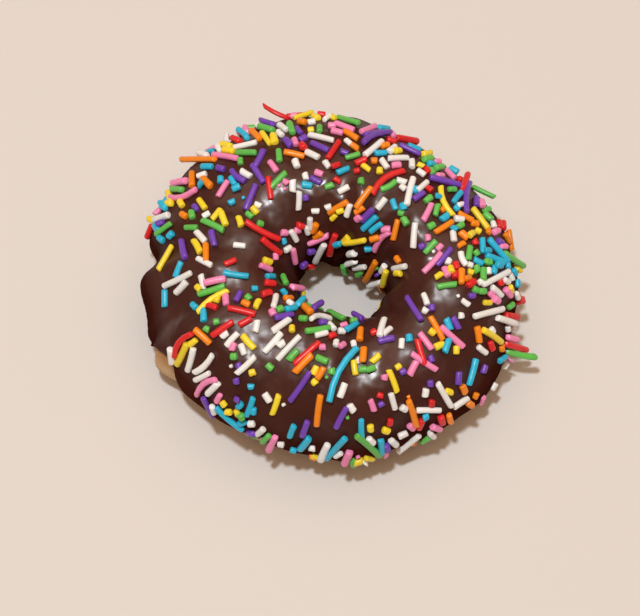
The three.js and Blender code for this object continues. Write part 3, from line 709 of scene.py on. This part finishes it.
# Smaller ones, and those that lie under or over others
small_rods = {
    "white": (
        (-26.5, 37.0, -26.5, 35.1), (-25.1, 36.5, -24.1, 36.3), (-19.4, 39.1, -18.3, 38.2),
        (-14.5, 37.2, -13.6, 36.3), (-14.3, 38.9, -12.4, 37.5), (-7.5, 39.3, -5.6, 39.6),
        (-3.7, 39.8, -2.3, 41.0), (-32.8, 32.3, -30.7, 31.6), (-28.6, 34.0, -27.9, 32.6),
        (-10.8, 30.7, -10.1, 28.8), (-8.0, 32.6, -4.9, 31.1), (-3.7, 30.4, -2.6, 28.8),
        (1.2, 35.4, 2.6, 34.2), (9.4, 30.9, 11.0, 28.6), (9.8, 35.1, 5.6, 31.6), (11.2, 32.3, 12.9, 33.7),
        (16.6, 30.7, 16.6, 28.8), (-33.3, 26.7, -31.1, 27.4), (-23.2, 28.1, -20.8, 26.7),
        (-20.1, 20.6, -18.5, 19.9), (-11.2, 26.2, -11.2, 23.2), (-8.4, 27.6, -8.0, 26.0),
        (8.7, 19.2, 10.8, 21.8), (13.1, 26.0, 15.5, 25.3), (14.1, 24.6, 15.2, 23.7), (17.8, 28.3, 19.7, 26.9),
        (27.4, 20.1, 28.3, 20.4), (-43.3, 16.6, -39.8, 17.8), (-33.7, 14.1, -31.4, 11.5),
        (-32.1, 17.3, -30.4, 18.3), (-8.4, 15.5, -7.7, 13.6), (-6.8, 19.0, -4.9, 19.0),
        (-3.5, 19.7, -2.3, 20.1), (1.6, 17.6, 2.6, 20.6), (26.5, 16.9, 28.8, 16.6), (35.4, 16.2, 35.8, 14.8),
        (-33.5, 7.7, -30.0, 5.9), (-13.3, 9.6, -12.2, 10.3), (1.9, 6.6, 4.0, 7.3), (2.3, 8.9, 3.7, 9.1),
        (3.3, 5.9, 6.1, 6.3), (9.8, 4.9, 10.8, 6.5), (12.6, 5.3, 15.7, 5.9), (25.0, 6.2, 25.6, 7.4),
        (29.9, 6.2, 30.6, 5.9), (34.4, 5.4, 34.5, 3.9), (-38.4, -0.5, -35.8, 2.3), (-32.6, 4.0, -31.9, 0.5),
        (-15.9, -4.0, -15.2, -1.2), (-12.2, -2.8, -11.5, -3.3), (6.6, 1.9, 9.8, 2.8),
        (28.2, -2.0, 30.0, -3.3), (32.3, 2.5, 32.8, 1.8), (35.1, 1.0, 37.5, -1.1), (37.9, 2.8, 39.1, 2.1),
        (39.3, 4.1, 40.0, 2.6), (40.8, -0.3, 41.2, -1.4), (-27.9, -10.8, -26.3, -9.6),
        (-19.5, -6.8, -20.0, -9.7), (-11.9, -6.6, -16.2, -9.6), (-6.1, -10.7, -3.1, -9.9),
        (-2.9, -7.8, -1.6, -9.3), (-0.7, -9.6, 0.8, -9.7), (11.9, -8.7, 9.8, -10.5), (19.1, -4.4, 20.3, -5.1),
        (28.1, -5.0, 28.1, -6.4), (34.9, -8.8, 35.3, -9.4), (36.3, -6.1, 40.8, -7.5),
        (38.8, -8.0, 39.0, -9.3), (40.0, -8.0, 40.3, -8.7), (-39.6, -13.1, -39.2, -16.6),
        (-33.8, -20.7, -30.4, -19.0), (-14.7, -13.1, -13.0, -11.9), (-1.2, -11.9, -1.4, -12.9),
        (2.9, -12.0, 3.1, -13.1), (4.1, -16.2, 4.4, -16.6), (14.3, -11.1, 14.1, -13.6),
        (37.9, -17.9, 38.8, -16.6), (-31.0, -23.9, -28.4, -21.3), (-29.8, -26.5, -29.2, -28.3),
        (-17.8, -23.7, -16.4, -25.8), (0.9, -21.4, -0.4, -24.9), (1.9, -26.3, 3.1, -28.1),
        (11.5, -23.7, 12.6, -27.6), (14.2, -27.0, 15.0, -27.4), (19.9, -22.6, 19.6, -24.6),
        (26.2, -26.9, 29.7, -24.6), (35.9, -21.4, 34.9, -23.1), (-21.1, -30.7, -20.4, -30.7),
        (-19.5, -33.3, -17.8, -31.8), (-14.6, -35.4, -13.1, -35.6), (6.4, -34.0, 7.7, -35.3),
        (11.5, -34.4, 13.0, -35.7), (13.3, -33.7, 15.5, -32.7), (20.7, -32.7, 21.7, -33.7),
        (-7.0, -36.3, -6.3, -36.4), (-2.9, -35.4, -4.6, -39.2), (-1.2, -38.3, 0.3, -37.4),
        (5.1, -40.0, 5.9, -40.5),
    ),
    "red": (
        (-20.8, 38.4, -19.7, 38.4), (-12.6, 41.7, -7.3, 42.2), (-5.2, 41.5, -3.3, 41.2),
        (-25.1, 35.8, -23.2, 34.9), (-9.1, 34.2, -8.4, 33.3), (-2.1, 29.0, -0.2, 29.7),
        (3.3, 27.9, 4.7, 28.3), (3.5, 29.7, 6.3, 30.9), (10.8, 35.4, 13.1, 34.7), (13.1, 35.8, 18.0, 34.9),
        (19.9, 28.6, 20.4, 27.6), (-1.6, 26.5, 0.0, 25.5), (20.4, 24.1, 21.3, 23.4), (27.4, 26.2, 28.8, 25.5),
        (28.3, 23.9, 29.7, 27.4), (-10.3, 15.7, -9.1, 15.2), (36.8, 16.5, 37.0, 14.7),
        (37.7, 16.2, 37.9, 14.5), (-7.7, 6.1, -6.6, 6.1), (-1.2, 13.8, -2.6, 8.9), (26.8, 6.6, 27.3, 4.9),
        (31.1, 11.9, 31.6, 10.9), (-31.6, -3.3, -28.8, -4.2), (-18.7, -0.9, -16.4, -0.2),
        (-18.0, 1.9, -15.5, 1.6), (26.8, 4.4, 26.8, 2.8), (29.4, 1.1, 31.4, 2.3), (37.0, 2.4, 37.3, 1.8),
        (41.4, -2.5, 42.4, -1.5), (41.6, -1.4, 42.2, -1.9), (-23.9, -8.0, -20.8, -6.3),
        (-2.5, -10.8, -1.8, -10.5), (7.4, -10.0, 8.3, -9.6), (38.2, -5.4, 41.3, -5.9),
        (34.7, -11.6, 35.4, -13.6), (8.5, -24.1, 9.8, -24.5), (21.3, -25.4, 21.2, -26.5),
        (11.5, -29.8, 11.3, -30.9), (19.1, -29.6, 18.1, -31.9), (23.2, -28.9, 23.7, -30.6),
    ),
    "orange": (
        (-20.8, 37.5, -18.7, 35.4), (-9.6, 39.6, -8.0, 39.3), (2.6, 34.2, 4.4, 33.0), (7.3, 30.4, 8.4, 30.4),
        (9.6, 33.7, 11.2, 34.2), (-34.4, 27.9, -34.4, 24.4), (-32.1, 26.5, -30.0, 24.4),
        (-37.0, 18.0, -35.8, 17.3), (-6.3, 14.1, -5.4, 16.2), (-5.9, 12.9, -4.2, 14.1),
        (3.3, 18.5, 5.6, 19.9), (6.8, 12.4, 9.1, 13.1), (23.4, 18.7, 24.6, 19.9), (27.9, 13.8, 29.7, 12.2),
        (30.4, 15.9, 32.1, 15.5), (34.4, 15.0, 34.4, 13.3), (38.2, 13.5, 39.3, 11.5), (8.4, 7.5, 5.9, 3.0),
        (13.5, 7.9, 14.1, 7.0), (27.3, 10.4, 29.0, 11.4), (-23.2, -2.6, -21.3, -3.5),
        (-13.3, -1.9, -11.5, -1.9), (28.2, 5.0, 28.2, 1.5), (29.2, 2.8, 30.0, 3.0),
        (-34.2, -8.7, -30.4, -12.2), (-9.1, -3.5, -7.0, -5.4), (4.8, -8.8, 4.5, -11.8),
        (31.7, -8.1, 32.3, -12.0), (-6.6, -14.8, -10.8, -19.2), (5.5, -13.1, 5.1, -16.7),
        (37.3, -12.5, 37.5, -13.8), (28.1, -21.8, 28.9, -23.6), (29.5, -25.7, 30.4, -26.3),
        (31.6, -23.5, 31.0, -24.9), (16.1, -35.8, 17.0, -35.8), (25.1, -28.5, 25.6, -30.4),
        (-6.9, -39.6, -5.9, -40.1),
    ),
    "yellow": (
        (-7.3, 37.5, -6.1, 37.7), (-6.1, 40.7, -5.2, 40.3), (-2.1, 40.7, -1.2, 40.3),
        (-27.6, 34.4, -25.3, 33.7), (-27.2, 33.0, -24.6, 32.6), (-18.3, 37.0, -16.4, 34.2),
        (-15.7, 36.5, -15.2, 34.4), (5.2, 29.5, 7.0, 28.1), (9.1, 28.6, 9.1, 27.6), (12.6, 32.6, 14.1, 32.8),
        (17.8, 29.7, 19.4, 29.0), (19.0, 31.9, 21.1, 32.3), (-40.3, 20.6, -39.1, 20.6),
        (-40.0, 23.4, -39.1, 20.6), (-37.2, 20.8, -36.8, 20.1), (-44.5, 17.1, -43.3, 16.6),
        (-30.0, 16.6, -27.9, 19.2), (-27.9, 18.5, -26.7, 15.2), (-23.9, 17.3, -23.2, 15.0),
        (-20.8, 19.7, -19.4, 18.0), (-2.1, 17.1, -0.9, 18.3), (-0.7, 18.7, 0.9, 19.4), (0.7, 11.9, 2.1, 13.3),
        (30.0, 12.9, 30.9, 13.6), (31.4, 14.3, 32.6, 13.6), (39.8, 14.4, 40.0, 11.9),
        (-34.2, 11.9, -32.6, 8.9), (-18.3, 7.5, -16.4, 6.8), (13.5, 4.4, 14.2, 4.3), (25.6, 5.4, 25.9, 4.4),
        (29.7, 4.5, 31.0, 4.1), (40.8, 5.7, 41.9, 4.8), (-33.5, 1.2, -32.8, 0.5), (-29.5, -2.1, -28.3, -2.3),
        (-20.1, -4.2, -19.2, -2.3), (11.2, 4.9, 10.4, 1.4), (22.1, 2.9, 23.8, 4.0), (33.2, -2.6, 35.0, -2.6),
        (39.4, 1.0, 39.7, 0.0), (-35.4, -12.4, -33.6, -11.1), (-23.0, -10.3, -20.1, -13.6),
        (-11.3, -8.4, -11.3, -9.7), (20.6, -9.1, 22.0, -10.2), (-38.2, -16.9, -35.8, -11.9),
        (-21.5, -19.2, -19.9, -18.7), (-6.5, -19.6, -5.5, -17.5), (2.9, -16.2, 3.4, -19.8),
        (12.7, -18.1, 13.9, -17.3), (21.8, -13.3, 24.0, -12.3), (26.9, -12.8, 26.8, -14.8),
        (-27.4, -25.9, -27.1, -26.3), (-26.8, -27.9, -25.5, -28.0), (-6.3, -21.1, -5.9, -21.5),
        (24.2, -23.1, 26.0, -23.6), (-24.4, -27.4, -23.7, -28.8), (6.8, -31.3, 6.9, -32.3),
        (10.1, -32.2, 10.7, -32.4), (-6.3, -38.8, -5.6, -39.0), (2.9, -40.3, 5.1, -39.5),
        (5.6, -39.1, 7.5, -39.3),
    ),
    "green": (
        (-19.0, 38.4, -15.5, 37.5), (-11.9, 39.3, -11.0, 36.8), (-4.7, 38.4, -4.7, 37.2),
        (-0.5, 40.5, 4.4, 39.1), (-24.1, 32.3, -19.4, 32.3), (-23.2, 30.9, -23.2, 29.7),
        (-14.5, 33.0, -14.3, 30.2), (19.2, 30.7, 21.3, 31.1), (22.0, 28.6, 23.9, 29.0),
        (-39.1, 23.9, -36.5, 23.7), (-12.6, 27.9, -16.4, 24.1), (-3.7, 24.4, -1.6, 25.1),
        (4.9, 26.2, 4.9, 25.1), (9.4, 23.7, 13.1, 25.8, 0.3), (19.7, 20.8, 21.3, 22.0),
        (21.1, 28.3, 21.5, 27.4), (25.1, 23.7, 26.9, 23.7), (-34.7, 18.7, -34.4, 16.9),
        (-22.2, 18.3, -20.6, 17.1), (-19.7, 15.7, -18.3, 15.5), (13.8, 18.5, 14.8, 18.3),
        (14.8, 17.3, 15.9, 15.5), (20.4, 14.8, 22.0, 15.7), (22.0, 17.6, 22.7, 20.4),
        (27.4, 14.8, 28.6, 15.5), (33.3, 18.3, 35.1, 16.6), (33.3, 19.0, 34.7, 19.2), (0.7, 6.6, 1.4, 4.9),
        (4.4, 4.4, 5.4, 5.2), (30.3, 10.6, 29.8, 7.3), (31.4, 9.3, 32.0, 8.5), (31.6, 5.9, 32.0, 4.1),
        (34.0, 7.4, 34.1, 6.2), (34.7, 7.3, 34.7, 6.2), (37.9, 8.9, 42.6, 5.9), (-22.2, -1.2, -21.3, -2.1),
        (-13.8, 3.5, -12.9, 1.4), (30.7, 0.6, 32.1, 0.0), (32.1, 0.0, 33.7, 0.0), (33.3, 5.4, 33.2, 2.6),
        (39.0, -3.7, 40.1, -2.8), (-31.9, -8.4, -30.7, -9.1), (-29.7, -7.3, -28.3, -7.0),
        (-15.0, -4.7, -13.8, -4.2), (-9.6, -6.7, -7.8, -6.8), (-3.1, -4.9, 0.5, -6.7), (2.2, -7.2, 3.6, -7.3),
        (-25.1, -15.3, -24.7, -15.3), (-17.3, -17.0, -15.9, -18.3), (-12.2, -16.3, -9.9, -13.8),
        (-5.7, -15.5, -2.9, -16.7), (-2.2, -18.0, -2.2, -19.6), (4.3, -18.4, 6.3, -18.3),
        (6.1, -18.5, 8.2, -17.8), (-23.4, -28.5, -22.8, -29.6), (-19.8, -35.6, -19.3, -35.6),
        (-18.2, -34.9, -16.5, -33.3), (18.6, -35.6, 20.7, -34.4), (2.7, -39.2, 3.0, -40.0),
    ),
    "blue": (
        (-23.7, 37.7, -21.5, 35.6, -0.3), (8.7, 38.2, 11.2, 37.9), (-32.3, 29.0, -29.7, 29.0),
        (-30.7, 32.6, -29.5, 33.0), (15.7, 34.0, 18.7, 32.8), (20.4, 29.7, 21.8, 29.7),
        (25.3, 28.8, 27.4, 27.6), (-32.8, 24.6, -32.1, 25.5), (-27.9, 26.7, -27.9, 25.3),
        (-26.2, 20.4, -24.6, 21.1), (-25.8, 26.7, -24.6, 24.8), (-25.3, 23.7, -23.4, 24.6),
        (-9.1, 25.1, -6.6, 24.6), (17.3, 23.2, 17.8, 23.9), (22.2, 22.2, 23.4, 22.0),
        (26.2, 20.8, 28.1, 23.2), (-43.1, 15.5, -42.2, 14.1), (-42.2, 12.9, -41.0, 11.9),
        (-41.7, 20.8, -40.5, 19.2), (-40.0, 12.6, -38.9, 13.8), (7.0, 14.1, 9.8, 16.2),
        (14.3, 20.6, 15.0, 19.0), (23.4, 16.6, 25.1, 17.8), (26.2, 14.8, 26.9, 14.3),
        (26.7, 19.7, 27.2, 19.2), (-38.4, 3.3, -37.0, 7.0), (-13.8, 12.4, -13.3, 11.0),
        (-0.9, 11.2, 0.2, 11.5), (5.6, 10.3, 7.3, 10.3), (33.0, 12.4, 33.2, 8.8), (33.7, 9.5, 34.7, 9.5),
        (36.0, 5.9, 35.6, 4.1), (36.4, 6.2, 37.2, 6.0), (38.8, 6.7, 39.0, 5.3), (40.2, 4.9, 40.6, 4.1),
        (-40.8, 0.5, -40.8, -3.7), (-34.4, -3.3, -33.7, -4.0), (-20.8, 0.5, -19.7, 0.5),
        (-17.6, 3.3, -15.7, 3.3), (-14.1, 0.5, -13.1, -0.7), (-10.3, -3.5, -8.7, -1.9),
        (41.0, 2.9, 41.1, 1.0), (-32.1, -4.2, -31.9, -7.3), (1.3, -9.4, 4.0, -7.7),
        (15.9, -10.2, 16.1, -12.0), (24.5, -6.3, 25.6, -9.1), (25.2, -11.1, 24.1, -14.4),
        (36.7, -16.2, 38.5, -15.0), (-23.3, -26.1, -23.7, -26.7), (-21.6, -22.2, -20.4, -22.2),
        (-20.3, -27.0, -20.4, -28.5), (-23.7, -30.9, -22.1, -30.1), (-7.3, -33.9, -9.5, -36.7),
        (9.2, -34.3, 9.5, -37.7), (19.4, -29.3, 20.1, -29.0), (-11.6, -36.6, -10.4, -36.9),
    ),
    "purple": (
        (-18.5, 40.0, -15.2, 38.9), (-10.1, 38.2, -9.1, 36.8), (5.6, 36.3, 9.4, 37.2),
        (-28.8, 28.8, -26.9, 28.3), (-17.8, 33.0, -19.9, 29.0), (-12.9, 35.4, -11.5, 33.7),
        (-9.4, 35.1, -7.7, 36.1), (-6.8, 34.7, -2.6, 32.8), (0.0, 32.8, 1.9, 32.1), (-8.2, 22.7, -8.0, 21.5),
        (17.1, 21.3, 19.7, 23.0), (31.6, 22.0, 31.6, 19.9), (-42.6, 15.5, -41.0, 16.2),
        (-34.0, 19.9, -33.3, 19.0), (-30.2, 14.3, -29.3, 10.5), (7.7, 19.4, 4.7, 16.4),
        (-9.4, 6.1, -8.2, 7.0), (-7.5, 9.6, -6.6, 9.8), (18.6, 10.2, 19.8, 11.1), (26.0, 10.1, 22.5, 5.9),
        (36.7, 11.5, 37.5, 11.1), (-6.6, -4.4, -4.4, -3.0), (29.9, -1.1, 31.2, -1.1),
        (-5.2, -7.5, -3.5, -7.5), (8.7, -11.9, 12.6, -11.0), (21.3, -3.3, 21.4, -4.8),
        (-23.9, -17.0, -23.7, -17.9), (13.7, -19.2, 15.1, -18.5), (20.7, -15.0, 21.3, -16.6),
        (33.7, -17.1, 33.0, -19.0), (-31.9, -24.6, -29.5, -29.0), (-24.6, -24.9, -23.8, -25.3),
        (-24.5, -20.2, -24.2, -21.6), (8.7, -26.7, 10.0, -25.9), (20.8, -20.7, 20.9, -22.2),
        (-21.2, -34.7, -20.6, -34.8), (10.5, -35.8, 10.8, -36.6),
    ),
    "pink": (
        (-22.2, 38.6, -21.5, 37.2), (-11.5, 41.2, -10.1, 41.5), (-2.8, 38.6, -0.9, 38.6),
        (-2.1, 37.5, 0.7, 36.8), (4.7, 37.2, 8.2, 38.6), (11.7, 37.0, 12.6, 36.1), (-10.8, 35.6, -10.3, 34.0),
        (11.9, 29.3, 14.1, 29.5), (21.8, 30.2, 23.0, 30.2), (-38.9, 25.1, -35.6, 25.8),
        (-13.3, 25.8, -12.4, 25.3), (-5.9, 27.9, -4.0, 27.2), (22.5, 26.9, 24.1, 26.9),
        (32.8, 21.1, 33.0, 19.7), (-43.8, 18.3, -42.4, 19.7), (-14.1, 13.8, -12.6, 13.8),
        (-11.0, 14.3, -9.8, 14.5), (3.7, 16.9, 4.7, 17.6), (9.6, 14.8, 11.9, 14.8), (20.4, 13.3, 20.6, 11.7),
        (35.6, 13.6, 36.8, 14.1), (-15.5, 9.1, -15.5, 7.3), (22.5, 9.7, 23.8, 11.0), (24.2, 5.3, 25.2, 3.2),
        (37.5, 10.4, 38.1, 10.4), (-31.9, 1.9, -26.7, 3.0), (-26.9, -0.9, -26.7, -3.5),
        (-11.9, 0.9, -9.1, 0.5), (34.5, -0.3, 35.4, -1.1), (35.4, -1.6, 36.7, -2.3), (38.2, 0.7, 39.6, -1.1),
        (-16.4, -4.4, -15.7, -5.9), (-0.1, -8.4, 1.6, -8.0), (18.3, -9.8, 21.3, -13.8),
        (38.8, -10.6, 41.1, -11.2), (-24.7, -12.0, -25.5, -14.0), (-4.4, -13.3, -3.9, -13.3),
        (-0.3, -13.1, 0.5, -12.6), (17.8, -16.2, 16.0, -19.7), (39.8, -15.8, 40.7, -16.6),
        (-28.9, -25.7, -27.9, -23.9), (10.1, -19.9, 10.1, -20.5), (33.3, -24.4, 32.5, -26.1),
        (-15.1, -33.6, -16.7, -36.9), (16.0, -31.1, 16.8, -31.7), (21.2, -31.3, 23.3, -31.9),
        (-18.3, -35.9, -17.3, -36.3), (2.2, -37.1, 0.9, -40.0), (10.7, -36.6, 10.3, -38.2),
    ),
}
least_seen = 1.5          # length of one that is seen on end or half covered
thinnest, thickest = 0.94, 1.18    # shares of rod_radius
edge_room = 5             # degrees across between the icing's lower edges and the middle of a small one
lift_step = 0.3
most_lift = 1.8
touch_stations = 7        # places along a rod where it is tried against others
touching = 0.62           # of their thickness, between the middle lines of two that are seen side by side
covered = 0.5             # and between those of a small one and a main one that lies over it
pressed_in = -0.4         # how far one that lies under a main rod is lifted, into the icing
small_draw = draws_from(555)


def keep_on_icing(rod):
    """Moves a rod that lies past a lower edge of the icing up onto it."""
    (around, across), _ = place_under(rod.centre)
    across = (across + 90) % 360 - 90
    kept = min(max(across, rim_lip_across(around) + edge_room), hole_lip_across(around) - edge_room)
    shift = icing_point(around, kept) - icing_point(around, across)
    rod.start, rod.end = rod.start + shift, rod.end + shift
    rod.lift(0.0, 0.0)


def near_ones(rod, others):
    reach = rod.length / 2 + most_lift + 2 * rod_radius
    return [other for other in others if (other.centre - rod.centre).length < reach + other.length / 2]


def is_clear(rod, other, closeness):
    least = closeness * (rod.radius + other.radius)
    half = other.length / 2
    for spot in rod.stations(touch_stations):
        offset = spot - other.centre
        along = max(-half, min(half, offset.dot(other.along)))
        if (offset - other.along * along).length < least:
            return False
    return True


def settle(rod, others, closeness):
    """Lifts an end of the rod, or both, by as little as clears the others, which are dented by closeness
    where they touch. Says whether that was enough."""
    for step in range(int(most_lift / lift_step) + 1):
        most = step * lift_step
        for lifts in ((most, 0), (0, most), (most / 2, most), (most, most / 2), (most, most)):
            rod.lift(*lifts)
            if all(is_clear(rod, other, closeness) for other in others):
                return True
    rod.lift(0.0, 0.0)
    return False


main_ones = tuple(rods)
small_ones = []
for colour, rows in small_rods.items():
    for right, up, end_right, end_up, *bow in rows:
        over, rise = end_right - right, end_up - up
        spare = max(0.0, least_seen / math.hypot(over, rise) - 1) / 2
        rod = seen_rod(right - spare * over, up - spare * rise,
                       end_right + spare * over, end_up + spare * rise, *bow)
        rod.radius = rod_radius * (thinnest + (thickest - thinnest) * next(small_draw))
        rod.colour = colour
        keep_on_icing(rod)
        if all(is_clear(rod, other, covered) for other in near_ones(rod, main_ones)):
            settle(rod, near_ones(rod, small_ones), touching)
        else:
            rod.lift(pressed_in, pressed_in)
        small_ones.append(rod)
rods += small_ones

# Crumbs of broken ones
crumbs = {
    "white": ((27.4, -1.3), (-13.2, -26.6), (-25.5, -17.7), (21.8, 9.2)),
    "orange": ((15.7, -24.8),),
    "green": ((-39.5, 24.7), (-3.3, -20.3), (1.6, -29.6), (8.7, 5.6)),
    "blue": ((-22.7, 21.7),),
    "purple": ((9.0, 4.1),),
    "pink": ((-14.3, 24.6), (-13.1, 23.9), (4.0, -38.6)),
}
crumb_reach = 0.35
crumb_radius = 0.42
crumb_drop = -0.25
for colour, rows in crumbs.items():
    for right, up in rows:
        rod = seen_rod(right - crumb_reach, up, right + crumb_reach, up + crumb_reach)
        keep_on_icing(rod)
        rod.lift(crumb_drop, crumb_drop)
        rod.radius, rod.colour = crumb_radius, colour
        rods.append(rod)

# The rest, round the back, by rule in what room is left, up to a second layer
hidden_rods = 110
hidden_length = (1.8, 5.0)
hidden_closeness = 0.86   # of their thickness, between their middle lines
hidden_tries = 6000
hidden_draw = draws_from(7411)
wanted = len(rods) + hidden_rods
for _ in range(hidden_tries):
    if len(rods) == wanted:
        break
    rod = scattered_rod(hidden_draw, *hidden_length)
    if rod and is_well_hidden(rod) and settle(rod, near_ones(rod, rods), hidden_closeness):
        rods.append(rod)

# Colours of those laid by rule: by share, and often that of a neighbour, as they fall in clusters
colour_shares = {"white": 27, "red": 9, "orange": 11, "yellow": 11, "green": 11, "blue": 12, "purple": 12,
                 "pink": 8}
like_neighbour = 0.3
colour_draw = draws_from(90210)
palette = [colour for colour, share in colour_shares.items() for _ in range(share)]
for rod in rods:
    if rod.colour is None:
        coloured = [other for other in rods if other.colour]
        nearest = min(coloured, key=lambda other: (other.centre - rod.centre).length)
        alike = next(colour_draw) < like_neighbour
        drawn = palette[int(next(colour_draw) * len(palette))]
        rod.colour = nearest.colour if alike else drawn


# One blank: a rod of radius 1 along Y from -1 to 1, with rounded ends beyond. Each sprinkle is made from it.
blank_sides = 10
blank_end = 0.34          # length of the rounded end
blank_stations = 3        # places where it can bend

blank_maker = bmesh.new()
bmesh.ops.create_cone(blank_maker, cap_ends=True, segments=blank_sides, radius1=1, radius2=1,
                      depth=2 + 2 * blank_end, matrix=Matrix.Rotation(math.radians(-90), 4, "X"))
rims = [edge for edge in blank_maker.edges if abs(edge.verts[0].co.y - edge.verts[1].co.y) < 0.01]
bmesh.ops.bevel(blank_maker, geom=rims, offset=blank_end, segments=2, profile=0.5, affect="EDGES",
                material=-1)
staves = [edge for edge in blank_maker.edges if abs(edge.verts[0].co.y - edge.verts[1].co.y) > 1.5]
bmesh.ops.subdivide_edges(blank_maker, edges=staves, cuts=blank_stations)
blank = bpy.data.meshes.new("sprinkle_blank")
blank_maker.to_mesh(blank)
blank_maker.free()

visible_rise = 0.2        # a real rod is sunk this much less than the solid's
flatness = 0.97           # its height, of its width
thick_spread, flat_spread, taper_spread, slant_spread = 0.12, 0.14, 0.12, 0.5
bow_spread = 0.04         # for each millimetre of its length


def draw_out(maker, tint, rod, draw):
    """Adds the blank to maker, drawn out, bent and a little dented to be this rod."""
    first = len(maker.verts)
    maker.from_mesh(blank)
    maker.verts.ensure_lookup_table()
    thick = rod.radius * (1 + thick_spread * (next(draw) - 0.5))
    flat = flatness + flat_spread * (next(draw) - 0.5)
    taper = taper_spread * (next(draw) - 0.5)
    slant = slant_spread * (next(draw) - 0.5)
    bow = rod.bow + bow_spread * (next(draw) - 0.5) * rod.length
    shade = next(draw)
    body = rod.length / 2 - blank_end * thick
    centre = rod.centre + rod.out * visible_rise
    for corner in maker.verts[first:]:
        share = max(-1.0, min(1.0, corner.co.y))
        wide = thick * (1 + taper * share)
        side, up = corner.co.x * wide, corner.co.z * wide * flat
        along = share * body + (corner.co.y - share) * thick + share * slant * side
        side += bow * (1 - share ** 2)
        corner.co = in_frame(centre + rod.along * along + rod.side * side + rod.out * up)
        corner[tint] = shade


mottling = 0.5            # how much the grain of the sugar adds to a rod's own shade
dimmest = 0.86            # of the full colour


def sugar_finish(name, colour):
    finish, tree, shader = new_finish(name, {"Roughness": 0.33, "Specular IOR Level": 0.5})
    place = add_node(tree, "TexCoord", {}).outputs["Object"]
    tint = tree.nodes.new("ShaderNodeAttribute")
    tint.attribute_name = "tint"
    grain = cloud(tree, place, 1400, 3)
    shade = combined(tree, "MULTIPLY_ADD", grain, mottling, tint.outputs["Fac"])
    dimmer = [*(dimmest * value for value in colour[:3]), 1.0]
    feed(tree, shader, {
        "Base Color": colours_along(tree, shade, (0.1, dimmer), (0.8667, colour)),
        "Normal": fine_relief(tree, grain, 0.35, 0.0001),
    })
    return finish


shape_draw = draws_from(3127)
for name, colour in sprinkle_colours.items():
    maker = bmesh.new()
    tint = maker.verts.layers.float.new("tint")
    for rod in rods:
        if rod.colour == name:
            draw_out(maker, tint, rod, shape_draw)
    piece = new_piece(f"sprinkles_{name}", maker, sugar_finish(f"{name}_sugar", colour))
    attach(piece, "root")
    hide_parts("icing")


bpy.context.view_layer.update()
